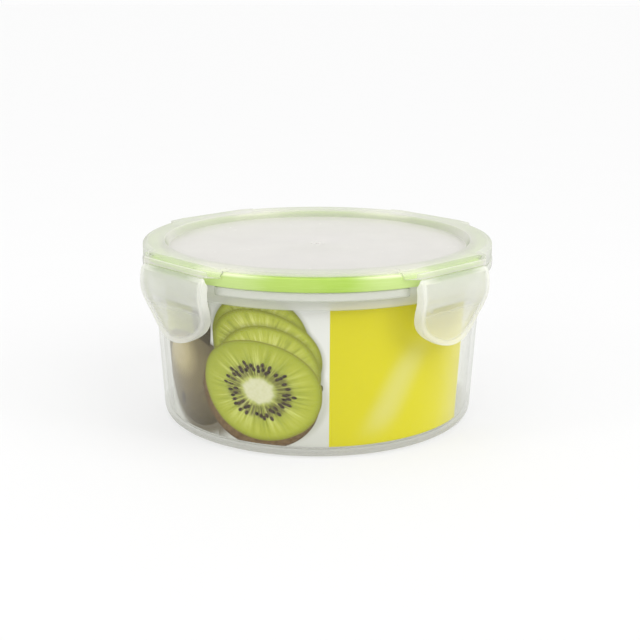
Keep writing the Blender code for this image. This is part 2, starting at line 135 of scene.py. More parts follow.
def wall_radius(z):
    return WALL_R + (z - WALL_Z) * DRAFT


def lerp(a, b, t):
    return a + (b - a) * t


def smooth01(t):
    t = max(0.0, min(1.0, t))
    return t * t * (3 - 2 * t)


def quarter(steps):
    """Angles of a quarter turn in equal steps, both ends included."""
    return [math.radians(90.0 * k / steps) for k in range(steps + 1)]


# ---- Mesh helpers ----
def fillet(points, closed=False):
    """Round the corners of a polyline. A point is (x, y) or (x, y, radius, steps); a rounded
    corner always gives steps + 1 points, so sections with the same corners match in count."""
    out = []
    count = len(points)
    for i, point in enumerate(points):
        if len(point) < 4 or (not closed and i in (0, count - 1)):
            out.append((point[0], point[1]))
            continue
        radius, steps = point[2:]
        corner = Vector(point[:2])
        back = Vector(points[i - 1][:2]) - corner
        ahead = Vector(points[(i + 1) % count][:2]) - corner
        back_len, ahead_len = back.length, ahead.length
        if back_len < 1e-9 or ahead_len < 1e-9:
            out += [(point[0], point[1])] * (steps + 1)
            continue
        back, ahead = back / back_len, ahead / ahead_len
        angle = math.acos(max(-1.0, min(1.0, back.dot(ahead))))
        if angle > math.pi - 1e-3:
            cut = min(back_len, ahead_len) * 0.2
        else:
            cut = min(radius / math.tan(angle / 2), back_len * 0.46, ahead_len * 0.46)
        start, end = corner + back * cut, corner + ahead * cut
        for k in range(steps + 1):
            t = k / steps
            spot = start * (1 - t) ** 2 + corner * 2 * t * (1 - t) + end * t * t
            out.append((spot.x, spot.y))
    return out


def polar_vert(bm, angle, radius, z):
    return bm.verts.new((radius * math.cos(angle) * MM, radius * math.sin(angle) * MM, z * MM))


def hinge_vert(bm, across, distance, z):
    """A vertex about the hinge line: x along the hinge, y outward, z up."""
    return bm.verts.new((across * MM, (distance - HINGE_D) * MM, (z - HINGE_Z) * MM))


def add_face(bm, verts):
    """Add a face, leaving out repeated corners; return None if fewer than three are left."""
    corners = list(dict.fromkeys(verts))
    return bm.faces.new(corners) if len(corners) > 2 else None


def bridge(bm, ring, after, closed=True):
    count = len(ring)
    for k in range(count if closed else count - 1):
        ahead = (k + 1) % count
        add_face(bm, (ring[k], ring[ahead], after[ahead], after[k]))


def fill_cap(bm, ring, flip=False, material=0):
    """Close a ring with a row of quads between its first and second half."""
    count = len(ring)
    for k in range((count - 1) // 2):
        quad = [ring[k], ring[k + 1], ring[count - 2 - k], ring[count - 1 - k]]
        add_face(bm, quad[::-1] if flip else quad).material_index = material


def new_mesh(name, bm, sharp=None):
    bmesh.ops.recalc_face_normals(bm, faces=bm.faces[:])
    mesh = bpy.data.meshes.new(name)
    bm.to_mesh(mesh)
    bm.free()
    mesh.shade_smooth()
    if sharp:
        mesh.set_sharp_from_angle(angle=math.radians(sharp))
    return mesh


def new_object(name, mesh, *materials):
    for material in materials:
        mesh.materials.append(material)
    obj = bpy.data.objects.new(name, mesh)
    bpy.context.scene.collection.objects.link(obj)
    return obj


def loft(name, stations, closed_profile=False):
    """Join sections round the axis. A station is a list of (angle, radius, height); radius 0 is
    a pole."""
    bm = bmesh.new()
    poles = {}
    rings = []
    for station in stations:
        ring = []
        for k, (angle, radius, z) in enumerate(station):
            if radius == 0.0:
                if k not in poles:
                    poles[k] = bm.verts.new((0, 0, z * MM))
                ring.append(poles[k])
            else:
                ring.append(polar_vert(bm, angle, radius, z))
        rings.append(ring)
    for i, ring in enumerate(rings):
        bridge(bm, ring, rings[(i + 1) % len(rings)], closed_profile)
    return new_mesh(name, bm)


def covered(angle_deg):
    """True on the left and right, where the lid's skirt covers the seal."""
    angle = math.radians(angle_deg)
    return abs(math.cos(angle)) > abs(math.sin(angle))


def from_clip(angle_deg):
    """Degrees from the nearest clip's centre line."""
    return min(abs((angle_deg - centre + 180.0) % 360.0 - 180.0) for centre in CENTRES)


# ---- Node helpers: arithmetic on sockets reads like arithmetic ----
def srgb(*channels):
    out = []
    for value in channels:
        value /= 255.0
        out.append(value / 12.92 if value <= 0.04045 else ((value + 0.055) / 1.055) ** 2.4)
    return (*out, 1.0)


class Graph:
    def __init__(self, name):
        self.material = bpy.data.materials.new(name)
        self.material.use_nodes = True
        self.tree = self.material.node_tree
        self.tree.nodes.clear()
        self.output = self.tree.nodes.new("ShaderNodeOutputMaterial")

    def node(self, kind, **settings):
        made = self.tree.nodes.new(kind)
        for key, value in settings.items():
            setattr(made, key, value)
        return made

    def put(self, socket, value):
        if isinstance(value, Val):
            value = value.socket
        if isinstance(value, bpy.types.NodeSocket):
            self.tree.links.new(value, socket)
        else:
            socket.default_value = value

    def made(self, kind, inputs, output=0, **settings):
        """Make a node, fill its inputs (by name or number) and return one output."""
        made = self.node(kind, **settings)
        for key, value in inputs.items():
            self.put(made.inputs[key], value)
        return made.outputs[output]

    def math(self, operation, *values):
        inputs = dict(enumerate(values))
        return Val(self, self.made("ShaderNodeMath", inputs, operation=operation))

    def position(self, axes=3):
        """Object-space position in millimetres, as x, y, z or only the first axes of them."""
        place = self.node("ShaderNodeTexCoord").outputs["Object"]
        split = self.node("ShaderNodeSeparateXYZ")
        self.put(split.inputs[0], place)
        return [Val(self, out) * 1000.0 for out in split.outputs[:axes]]

    def vector(self, x, y, z=0.0):
        return self.made("ShaderNodeCombineXYZ", {0: x, 1: y, 2: z})

    def noise(self, vector, scale, detail=2.0, rough=0.5):
        inputs = {"Vector": vector, "Scale": scale, "Detail": detail, "Roughness": rough}
        return Val(self, self.made("ShaderNodeTexNoise", inputs, "Fac"))

    def rand(self, value):
        kind = "ShaderNodeTexWhiteNoise"
        return Val(self, self.made(kind, {"W": value}, "Value", noise_dimensions="1D"))

    def ramp(self, value, zero, one):
        """Smooth step: 0 at zero, 1 at one, whichever of the two is greater."""
        inputs = {
            "Value": value,
            "From Min": min(zero, one),
            "From Max": max(zero, one),
            "To Min": 0.0 if zero <= one else 1.0,
            "To Max": 1.0 if zero <= one else 0.0,
        }
        kind = "ShaderNodeMapRange"
        return Val(self, self.made(kind, inputs, "Result", interpolation_type="SMOOTHSTEP"))

    def mix(self, amount, under, over):
        return self.made("ShaderNodeMix", {0: amount, 6: under, 7: over}, 2, data_type="RGBA")

    def gradient(self, value, stops):
        """Colours along value. A stop is (place, red, green, blue)."""
        node = self.node("ShaderNodeValToRGB")
        self.put(node.inputs[0], value)
        elements = node.color_ramp.elements
        while len(elements) < len(stops):
            elements.new(0.5)
        for item, (place, *colour) in zip(elements, stops):
            item.position = place
            item.color = srgb(*colour)
        return node.outputs[0]

    def shader_mix(self, amount, under, over):
        return self.made("ShaderNodeMixShader", {0: amount, 1: under, 2: over})

    def bump(self, height, strength):
        inputs = {"Height": height, "Strength": strength, "Distance": 0.0002}
        return self.made("ShaderNodeBump", inputs)

    def principled(self, colour, rough, **others):
        """others are further inputs, with _ for each space in the name."""
        inputs = {"Base Color": colour, "Roughness": rough}
        inputs.update((key.replace("_", " "), value) for key, value in others.items())
        return self.made("ShaderNodeBsdfPrincipled", inputs)

    def finish(self, shader):
        self.put(self.output.inputs["Surface"], shader)
        return self.material


class Val:
    """A socket that takes part in sums."""

    def __init__(self, graph, socket):
        self.graph, self.socket = graph, socket

    def __add__(self, other):
        return self.graph.math("ADD", self, other)

    __radd__ = __add__

    def __sub__(self, other):
        return self.graph.math("SUBTRACT", self, other)

    def __rsub__(self, other):
        return self.graph.math("SUBTRACT", other, self)

    def __mul__(self, other):
        return self.graph.math("MULTIPLY", self, other)

    __rmul__ = __mul__

    def __truediv__(self, other):
        return self.graph.math("DIVIDE", self, other)

    def __pow__(self, other):
        return self.graph.math("POWER", self, other)

    def floor(self):
        return self.graph.math("FLOOR", self)

    def sqrt(self):
        return self.graph.math("SQRT", self)

    def abs(self):
        return self.graph.math("ABSOLUTE", self)

    def atan2(self, other):
        return self.graph.math("ARCTAN2", self, other)

    def max(self, other):
        return self.graph.math("MAXIMUM", self, other)

    def min(self, other):
        return self.graph.math("MINIMUM", self, other)

    def clamp(self):
        return self.max(0.0).min(1.0)


def length(across, up):
    return (across * across + up * up).sqrt()


# ---- Plastics and silicone ----
def natural_plastic(
    name, milky, rise, power, body, edge, rough, shape=None, gloss=1.0, grain=1.0, marks=1.0
):
    """Natural polypropylene: part of the light passes straight on, the rest is scattered milky
    white. milky is the share one face scatters head on; it rises by rise towards a glancing view,
    the faster the lower power is. body is the colour head on; edge is painted shade, a darker tone
    mixed in at a glance for the dark rims of clear plastic. shape(mat, x, y, z, share, rise, body)
    may change share, rise and body over the piece."""
    mat = Graph(name)
    x, y, z = mat.position()
    where = mat.vector(x, y, z)
    glance = Val(mat, mat.made("ShaderNodeLayerWeight", {"Blend": 0.5}, "Facing"))
    cosine = 1.0 - glance

    # slow flow marks of the melt, fine sparkle of the moulded surface, handling marks
    cloud = mat.noise(where, scale=0.045, detail=3.0, rough=0.55)
    speck = mat.noise(where, scale=1.6, detail=2.0, rough=0.6)
    slanted = mat.vector(x * 0.35 + y * 0.2, y * 0.35 - x * 0.15, z * 4.0)
    hair = mat.noise(slanted, scale=1.1, detail=4.0, rough=0.62)

    share, lift, colour = milky, rise, body
    if shape:
        share, lift, colour = shape(mat, x, y, z, share, lift, body)
    scatter = (glance**power) * lift + share
    uneven = 1.0 + (cloud - 0.5) * 0.16 * marks + (speck - 0.5) * 0.08 * grain
    scatter = (scatter * uneven).clamp()

    pale = mat.mix(0.5, colour, srgb(240, 240, 234))
    tone = mat.mix((cloud - 0.35).clamp() * 0.5, colour, pale)
    # painted shade: the tone darkens to edge at a glancing view
    tone = mat.mix(mat.ramp(cosine, 0.24, 0.03), tone, edge)
    worn = mat.ramp(hair, 0.58, 0.86) * 0.10 * marks
    roughness = (rough + (cloud - 0.5) * 0.16 + worn).clamp()
    relief = mat.bump(speck * 0.35 + cloud * 1.2 + hair * 0.3 * marks, strength=0.08 * grain)

    milk = mat.principled(tone, roughness, IOR=1.49, Specular_IOR_Level=0.3, Normal=relief)
    through = mat.made("ShaderNodeBsdfTranslucent", {"Color": tone, "Normal": relief})
    solid = mat.shader_mix(0.45, milk, through)
    clear = mat.made("ShaderNodeBsdfTransparent", {"Color": (0.99, 0.993, 0.987, 1.0)})
    base = mat.shader_mix(scatter, clear, solid)

    shine_inputs = {
        "Color": (1, 1, 1, 1),
        "Roughness": (roughness * 0.7).max(0.08),
        "Normal": relief,
    }
    shine = mat.made("ShaderNodeBsdfGlossy", shine_inputs)
    mirror = (glance**5.0) * (0.55 * gloss) + 0.011 * gloss
    return mat.finish(mat.shader_mix(mirror, base, shine))


def tub_shape(mat, x, y, z, share, rise, body):
    """The wall is clear; the thick neck and flange are milky, and the foot gathers grey from its
    corner."""
    neck = mat.ramp(z, 54.0, 54.6)
    flange = mat.ramp(z, 57.4, 58.2)
    foot = mat.ramp(z, 5.0, 2.6)
    share = neck * 0.70 + flange * 0.02 + foot * 0.30 + share
    colour = mat.mix(foot, body, srgb(180, 180, 165))
    return share, rise, mat.mix(neck, colour, srgb(236, 237, 230))


def lid_shape(mat, x, y, z, share, rise, body):
    """The rim is thin and clear enough to show the seal; the panel inside it, the two skirts and
    the edges that carry the hinges are frosted."""
    radius = length(x, y)
    flat_x, flat_y = mat.position(axes=2)
    rim = mat.ramp(radius, 57.6, 59.6)
    # left and right sectors, where the skirt hangs
    sideways = mat.ramp(flat_y.abs() - flat_x.abs() * 0.515, 0.5, -0.5)
    skirt = sideways * mat.ramp(radius, 63.4, 64.9)
    # distance towards the nearest clip
    out = (flat_x.abs() + flat_y.abs()) * 0.70711
    land = mat.ramp(out, 66.9, 67.4) * mat.ramp(z, 66.7, 66.3)
    facet = mat.ramp(out, 63.8, 65.0) * mat.ramp(z, 66.3, 66.6)
    step = mat.ramp(radius, 55.9, 56.3) * mat.ramp(radius, 58.2, 57.6)
    share = share * (1.0 - rim * 0.66) * (1.0 - facet * 0.8)
    share = share + skirt * 0.55 + land * 0.36 + step * 0.3
    rise = rise * (1.0 + rim * 0.25) * (1.0 - facet * 0.8)
    colour = mat.mix(skirt, body, srgb(228, 228, 222))
    return share, rise, mat.mix(facet, colour, srgb(202, 221, 168))


def clip_shape(mat, x, y, z, share, rise, body):
    """The deep border of a clip holds more plastic than its plate, so it is whiter and less
    clear."""
    deep = Val(mat, mat.made("ShaderNodeAttribute", {}, "Fac", attribute_name="border"))
    upper = mat.ramp(z, 49.0, 56.0)
    share = upper * 0.19 + share + deep * 0.34
    return share, rise, mat.mix(deep, body, srgb(247, 247, 243))


def silicone(name):
    """Soft light green seal: satin skin, faint flow marks, a little dust, light bleeding through
    its edges."""
    mat = Graph(name)
    x, y, z = mat.position()
    where = mat.vector(x, y, z)
    cloud = mat.noise(where, scale=0.06, detail=3.0, rough=0.5)
    grit = mat.noise(where, scale=2.4, detail=3.0, rough=0.6)
    dust = mat.ramp(mat.noise(where, scale=1.3, detail=4.0, rough=0.7), 0.66, 0.76)
    flow = mat.noise(mat.vector(x * 0.12, y * 0.12, z * 2.2), scale=1.0, detail=2.0, rough=0.5)
    colour = mat.mix(mat.ramp(cloud, 0.3, 0.7), srgb(180, 214, 90), srgb(190, 219, 108))
    colour = mat.mix(mat.ramp(flow, 0.45, 0.75) * 0.35, colour, srgb(202, 228, 132))
    colour = mat.mix(dust * 0.25, colour, srgb(230, 238, 200))
    # painted highlight: paler at the front and back, most of all near the top, where the seal's
    # top edge would glint
    painted_highlight = (mat.ramp(z, 64.9, 65.8) * 0.62 + 0.34) * mat.ramp(x.abs(), 10.0, 26.0)
    painted_highlight = painted_highlight * mat.ramp(y.abs() - x.abs(), 8.0, 14.0)
    colour = mat.mix(painted_highlight, colour, srgb(244, 252, 208))
    relief = mat.bump(grit * 0.5 + flow * 0.8, strength=0.12)
    roughness = 0.42 + (cloud - 0.5) * 0.2 + dust * 0.2
    skin = mat.principled(colour, roughness, IOR=1.41, Normal=relief)
    bleed = mat.made("ShaderNodeBsdfTranslucent", {"Color": colour})
    return mat.finish(mat.shader_mix(0.22, skin, bleed))


# ---- Card print: u is millimetres along the card, 0 at the front and + to the right; v is up ----
class Oval(namedtuple("Oval", "u v half_u half_v tilt")):
    """Centre, half axes and tilt in degrees."""

    def shifted(self, right, up):
        return self._replace(u=self.u + right, v=self.v + up)

    def within(self, u, v):
        """Position inside the oval, as fractions of its two half axes."""
        turn = math.radians(self.tilt)
        cosine, sine = math.cos(turn), math.sin(turn)
        right, up = u - self.u, v - self.v
        along = (right * cosine + up * sine) * (1.0 / self.half_u)
        return along, (up * cosine - right * sine) * (1.0 / self.half_v)

    def radius(self, u, v):
        return length(*self.within(u, v))


def spot(right, up, scale_u, scale_v):
    """Squared distance from a spot's centre, 1 at the rim; the scales are 1 / half axis."""
    return (right * scale_u) ** 2.0 + (up * scale_v) ** 2.0


def ray_noise(mat, cosine, sine, radius, seed):
    """Noise drawn out along the radius, for the rays in the flesh."""
    place = mat.vector(cosine * 9.0, sine * 9.0, radius * 0.7 + seed * 7.0)
    return mat.noise(place, scale=1.0, detail=3.0, rough=0.65)


# Colours from the centre of a fruit to its rim: (place, red, green, blue)
BEHIND_FLESH = (
    (0.30, 198, 201, 120),
    (0.56, 192, 196, 92),
    (0.74, 190, 195, 80),
    (0.90, 176, 183, 64),
    (0.985, 138, 142, 46),
)
SLICE_FLESH = (
    (0.20, 202, 204, 134),
    (0.34, 160, 164, 78),
    (0.56, 172, 178, 74),
    (0.74, 184, 189, 68),
    (0.90, 174, 180, 58),
    (0.985, 146, 152, 48),
)
WHOLE_SKIN = (
    (0.0, 198, 186, 146),
    (0.20, 182, 168, 124),
    (0.40, 124, 112, 78),
    (0.62, 104, 92, 66),
    (0.98, 74, 66, 46),
)
SEED_ROWS = ((24.0, 0.54, 0.26), (29.0, 0.468, 0.08), (25.0, 0.40, 0.30))  # count, ring, gaps
SEED_HALF_WIDTH = 0.62


def slice_behind(mat, u, v, under, oval, seed):
    """A slice of which only the outer flesh shows, above the slices in front of it."""
    right, up = oval.within(u, v)
    radius = length(right, up).max(0.0001)
    rays = ray_noise(mat, right / radius, up / radius, radius, seed)
    flesh = mat.gradient(radius, BEHIND_FLESH)
    pale = mat.ramp(rays, 0.50, 0.62) * mat.ramp(radius, 0.97, 0.70) * 0.75
    flesh = mat.mix(pale, flesh, srgb(216, 219, 132))
    dark = mat.ramp(rays, 0.49, 0.36) * mat.ramp(radius, 0.985, 0.80) * 0.6
    flesh = mat.mix(dark, flesh, srgb(142, 150, 50))
    card = mat.mix(mat.ramp(radius, 1.10, 0.99) * 0.42, under, srgb(104, 108, 46))
    return mat.mix(mat.ramp(radius, 1.008, 0.992), card, flesh)


def draw_seeds(mat, flesh, angle, radius, size, seed):
    """Three rings of dark seeds, jittered in place and length; some are left out."""
    for row, (count, ring, least) in enumerate(SEED_ROWS):
        turn = angle * (count / (2 * math.pi)) + (row * 0.37 + seed * 0.21)
        cell = turn.floor()
        away = turn - cell - 0.5
        chance = mat.rand(cell + (seed * 31.0 + row * 101.0))
        other = mat.rand(cell + (seed * 17.0 + row * 57.0 + 0.5))
        across = (away + (other - 0.5) * 0.5) * (2 * math.pi / count) * radius * size
        along = (radius - (ring + (chance - 0.5) * 0.07)) * size
        wide = (across * (1.0 / SEED_HALF_WIDTH)) ** 2.0
        shape = (wide + (along / (0.84 + other * 0.25)) ** 2.0).sqrt()
        present = mat.ramp(chance, least, least + 0.02)
        colour = mat.mix(other, srgb(50, 38, 36), srgb(78, 64, 50))
        flesh = mat.mix(mat.ramp(shape, 1.25, 0.70) * present, flesh, colour)
    return flesh


def kiwi_slice(mat, u, v, under, oval, seed, rind):
    """One cut slice of kiwi fruit: cream core, pale rays, a ring of seeds, green flesh and a thin
    skin, with the peel showing past one side by the shift rind."""
    size = (oval.half_u + oval.half_v) / 2
    right, up = oval.within(u, v)
    even = length(right, up).max(0.0001)
    cosine, sine = right / even, up / even
    wobble_place = mat.vector(cosine * 1.2, sine * 1.2, float(seed))
    wobble = mat.noise(wobble_place, scale=1.3, detail=1.0)
    radius = even * (1.0 + (wobble - 0.5) * 0.05)
    angle = up.atan2(right)
    rays = ray_noise(mat, cosine, sine, radius, seed)
    fine_place = mat.vector(cosine * 24.0, sine * 24.0, radius * 1.5 + seed * 3.0)
    fine = mat.noise(fine_place, scale=1.0, detail=2.0, rough=0.6)
    mottled = mat.noise(mat.vector(u, v, float(seed)), scale=0.9, detail=4.0, rough=0.65)

    # flesh: shaded on the upper left, then pale rays, dark rays, fine pale rays and mottling
    flesh = mat.gradient(radius, SLICE_FLESH)
    shadowed = mat.ramp(right - up * 0.5, 0.9, -0.9)
    flesh = mat.mix(shadowed * 0.35, flesh, srgb(160, 172, 66))
    pale = mat.ramp(rays, 0.50, 0.64) * mat.ramp(radius, 0.97, 0.60) * 0.75
    flesh = mat.mix(pale, flesh, srgb(210, 216, 118))
    dark = mat.ramp(rays, 0.49, 0.36) * mat.ramp(radius, 0.97, 0.60) * 0.65
    flesh = mat.mix(dark, flesh, srgb(138, 150, 46))
    thin = mat.ramp(fine, 0.52, 0.70) * mat.ramp(radius, 1.0, 0.7) * 0.40
    flesh = mat.mix(thin, flesh, srgb(206, 210, 112))
    flesh = mat.mix(mat.ramp(mottled, 0.52, 0.72) * 0.20, flesh, srgb(146, 154, 50))

    # dark and pale streaks between the seeds, then the seeds
    zone = mat.ramp(radius, 0.27, 0.34) * mat.ramp(radius, 0.60, 0.48)
    flesh = mat.mix(zone * mat.ramp(fine, 0.68, 0.40) * 0.85, flesh, srgb(96, 90, 52))
    flesh = mat.mix(zone * mat.ramp(rays, 0.54, 0.68) * 0.5, flesh, srgb(200, 200, 132))
    flesh = draw_seeds(mat, flesh, angle, radius, size, seed)

    # cream core with a soft lobed edge
    lobe_place = mat.vector(cosine * 2.4, sine * 2.4, seed * 5.0)
    lobes = mat.noise(lobe_place, scale=1.0, detail=2.0)
    core = mat.ramp(radius * (1.10 - (lobes - 0.5) * 0.5), 0.315, 0.225)
    cream = mat.mix(mat.ramp(mottled, 0.35, 0.7), srgb(221, 220, 186), srgb(214, 213, 170))
    flesh = mat.mix(core, flesh, cream)

    # thin skin round the cut
    flesh = mat.mix(mat.ramp(radius, 0.965, 0.995) * 0.7, flesh, srgb(136, 132, 52))
    inside = mat.ramp(radius, 1.006, 0.994)

    # shadow on the card, and the peel behind the slice
    shade = mat.ramp(oval.shifted(1.1, -0.9).radius(u, v), 1.11, 0.98)
    card = mat.mix(shade * 0.30, under, srgb(120, 122, 70))
    rind_radius = oval.shifted(*rind).radius(u, v)
    peel = mat.mix(mat.ramp(mottled, 0.35, 0.65), srgb(100, 78, 50), srgb(130, 104, 70))
    peel = mat.mix(mat.ramp(rind_radius, 0.93, 1.0) * 0.5, peel, srgb(76, 62, 44))
    card = mat.mix(mat.ramp(rind_radius, 1.008, 0.994), card, peel)
    return mat.mix(inside, card, flesh)


def whole_kiwi(mat, u, v, under, oval, seed, shade=0.0):
    """A whole furry kiwi fruit behind the slices, lit from the upper left; shade darkens all of
    it."""
    right, up = oval.within(u, v)
    radius = length(right, up)
    light = ((right + 0.55) * (right + 0.55) + (up - 0.50) * (up - 0.50)).sqrt()
    fuzz_place = mat.vector(u * 1.0, v * 2.2, float(seed))
    fuzz = mat.noise(fuzz_place, scale=2.2, detail=4.0, rough=0.7)
    blotch = mat.noise(mat.vector(u, v, seed + 4.0), scale=0.35, detail=3.0, rough=0.6)
    skin = mat.gradient(light * 0.58, WHOLE_SKIN)
    # pale fuzz, dark fuzz, greenish blotches
    skin = mat.mix(mat.ramp(fuzz, 0.5, 0.72) * 0.25, skin, srgb(200, 186, 150))
    skin = mat.mix(mat.ramp(fuzz, 0.46, 0.26) * 0.30, skin, srgb(84, 72, 52))
    skin = mat.mix(mat.ramp(blotch, 0.5, 0.7) * 0.20, skin, srgb(140, 126, 70))
    skin = mat.mix(shade, skin, srgb(92, 84, 56))
    shadow = mat.ramp(oval.shifted(1.5, -1.6).radius(u, v), 1.22, 0.96)
    card = mat.mix(shadow * 0.92, under, srgb(104, 94, 72))
    return mat.mix(mat.ramp(radius, 1.012, 0.985), card, skin)


def card_start(name):
    """Graph, place on the card and paper grain, for a printed area."""
    mat = Graph(name)
    x, y, v = mat.position()
    u = x.atan2(y * -1.0) * REACH
    return mat, u, v, mat.noise(mat.vector(u, v), scale=3.0, detail=4.0, rough=0.6)


def print_surface(mat, art, paper):
    colour = mat.mix(mat.ramp(paper, 0.45, 0.7) * 0.06, art, srgb(250, 250, 240))
    roughness = 0.42 + (paper - 0.5) * 0.25
    relief = mat.bump(paper, strength=0.05)
    face = mat.principled(colour, roughness, IOR=1.45, Specular_IOR_Level=0.14, Normal=relief)
    return mat.finish(face)


def paint_fruit(mat, u, v, picture):
    """Left end: two whole fruits, a slice above them, the dark gap between and a stem end."""
    picture = slice_behind(mat, u, v, picture, Oval(-57.0, 47.5, 19.5, 15.0, 0.0), seed=7)
    low_fruit = Oval(-50.0, 28.0, 22.0, 11.8, 0.0)
    picture = whole_kiwi(mat, u, v, picture, low_fruit, seed=6, shade=0.9)
    picture = whole_kiwi(mat, u, v, picture, Oval(-48.4, 22.4, 18.3, 17.0, -8.0), seed=3)
    gap = mat.ramp(spot(u + 42.0, v - 45.0, 0.22, 0.072), 1.1, 0.9)
    gap = gap * mat.ramp(spot(u + 48.4, v - 22.4, 0.055, 0.059), 0.98, 1.04)
    picture = mat.mix(gap, picture, srgb(74, 64, 42))
    stem = spot(u + 57.0, v - 13.0, 0.62, 0.38)
    return mat.mix(mat.ramp(stem, 1.1, 0.5) * 0.8, picture, srgb(66, 56, 44))


def paint_slices(mat, u, v, picture):
    """Front: the whole fruit's shadow, one loose pip and three slices behind."""
    cast = spot(u + 46.9, v - 20.6, 0.055, 0.059).sqrt()
    picture = mat.mix(mat.ramp(cast, 1.34, 1.02) * 0.92, picture, srgb(104, 94, 72))
    pip = spot(u - 3.1, v - 25.7, 1.4, 0.75)
    picture = mat.mix(mat.ramp(pip, 1.2, 0.6), picture, srgb(48, 38, 34))
    for oval, seed in (
        (Oval(-18.9, 41.2, 17.9, 17.4, 0.0), 5),
        (Oval(-16.4, 37.6, 20.4, 14.9, -18.5), 11),
        (Oval(-16.1, 29.9, 19.2, 17.5, -10.0), 9),
    ):
        picture = slice_behind(mat, u, v, picture, oval, seed)
    return picture


def card_picture(name, paint):
    """Part of the picture: what paint draws on a pale ground, under the large cut slice."""
    mat, u, v, paper = card_start(name)
    picture = mat.mix(mat.ramp(v, 6.0, 30.0), srgb(209, 209, 202), srgb(228, 228, 224))
    picture = paint(mat, u, v, picture)
    large = Oval(-19.0, 23.6, 22.8, 18.15, -8.5)
    picture = kiwi_slice(mat, u, v, picture, large, seed=2, rind=(-1.2, -3.0))
    return print_surface(mat, picture, paper)


def card_plain(name):
    """Plain yellow area of the card, with a painted reflection: a soft pale band across it and a
    paler right end.
    """
    mat, u, v, paper = card_start(name)
    sun = mat.noise(mat.vector(u, v), scale=0.03, detail=2.0)
    yellow = mat.mix(mat.ramp(u, 4.0, 22.0), srgb(211, 202, 12), srgb(211, 202, 13))
    yellow = mat.mix(mat.ramp(sun, 0.35, 0.65) * 0.4, yellow, srgb(216, 208, 18))
    # painted reflection: slanting pale band, faded at its ends
    painted_reflection = (u - 30.0) * 0.86 - (v - 23.0) * 0.44
    pale = mat.ramp(painted_reflection, -8.0, 0.0) * mat.ramp(painted_reflection, 9.0, 0.0)
    pale = pale * mat.ramp(v, 3.0, 16.0) * mat.ramp(v, 44.0, 29.0)
    yellow = mat.mix(pale * 0.36, yellow, srgb(216, 216, 168))
    # painted reflection: paler towards the right end of the card
    yellow = mat.mix(mat.ramp(u, 48.0, 61.0) * 0.10, yellow, srgb(216, 214, 150))
    return print_surface(mat, yellow, paper)


def card_back(name):
    """Unprinted white board with its fibres."""
    mat = Graph(name)
    x, y, z = mat.position()
    u = x.atan2(y * -1.0) * 58.0  # millimetres along the back of the card
    fibre = mat.noise(mat.vector(u * 0.6, z * 2.4), scale=1.8, detail=5.0, rough=0.65)
    speck = mat.noise(mat.vector(u, z), scale=5.0, detail=3.0, rough=0.6)
    tone = mat.mix(mat.ramp(fibre, 0.35, 0.7), srgb(238, 237, 231), srgb(226, 225, 217))
    tone = mat.mix(mat.ramp(speck, 0.68, 0.76) * 0.4, tone, srgb(200, 196, 184))
    relief = mat.bump(fibre + speck * 0.5, strength=0.2)
    return mat.finish(mat.principled(tone, 0.78 + (fibre - 0.5) * 0.2, Normal=relief))


# edge colours below are painted shade, mixed in at a glancing view
TUB = natural_plastic(
    "tub_plastic", milky=0.004, rise=0.80, power=4.4, rough=0.20, gloss=0.9, grain=0.6,
    body=srgb(222, 223, 216), edge=srgb(196, 199, 186), shape=tub_shape,
)
LID = natural_plastic(
    "lid_plastic", milky=0.29, rise=0.90, power=2.4, rough=0.34, gloss=0.8,
    body=srgb(233, 230, 228), edge=srgb(204, 208, 190), shape=lid_shape,
)
CLIP = natural_plastic(
    "clip_plastic", milky=0.19, rise=0.60, power=3.0, rough=0.32, gloss=0.9,
    body=srgb(232, 232, 229), edge=srgb(188, 192, 174), shape=clip_shape,
)
WEB = natural_plastic(
    "hinge_plastic", milky=0.06, rise=0.30, power=3.0, rough=0.30, gloss=0.6,
    body=srgb(214, 222, 190), edge=srgb(190, 205, 150),
)
SEAL = silicone("seal_silicone")
CARD_MATERIALS = (
    card_picture("card_fruit", paint_fruit),
    card_picture("card_slices", paint_slices),
    card_plain("card_yellow"),
    card_back("card_board"),
)
BOARD = 3  # slot of the bare board


# ---- Tub ----
def tub_section():
    """(radius, height) from the centre of the underside, up the outside and down the inside."""
    return fillet(
        [
            (0.0, BASE_Z + 0.72),
            (0.8, BASE_Z + 0.72, 0.12, 2),
            (1.1, BASE_Z + 0.9, 0.2, 2),
            (30.0, BASE_Z + 0.9),
            (47.1, BASE_Z + 0.9, 0.5, 4),
            (48.0, BASE_Z, 0.5, 4),
            (wall_radius(0.0), BASE_Z, 4.4, 16),
            (wall_radius(30.0), 30.0),
            (wall_radius(LEDGE_Z - 0.25), LEDGE_Z - 0.25, 0.3, 5),
            (NECK_R, LEDGE_Z + 0.05, 0.35, 6),
            (NECK_R, FLANGE_Z0 - 0.05, 0.3, 5),
            (FLANGE_R - 0.15, FLANGE_Z0 + 0.05, 0.8, 8),
            (FLANGE_R, FLANGE_Z1, 0.55, 7),
            (LIP_R1, FLANGE_Z1, 0.35, 4),
            (LIP_R1, LIP_Z, 0.7, 7),
            (LIP_R0, LIP_Z, 0.7, 7),
            (LIP_R0, FLANGE_Z1 - 1.0, 2.0, 4),
            (wall_radius(LEDGE_Z) - WALL_T, LEDGE_Z, 2.0, 4),
            (wall_radius(30.0) - WALL_T, 30.0),
            (wall_radius(INNER_FLOOR_Z) - WALL_T, INNER_FLOOR_Z, 2.0, 10),
            (30.0, INNER_FLOOR_Z),
            (0.0, INNER_FLOOR_Z),
        ]
    )


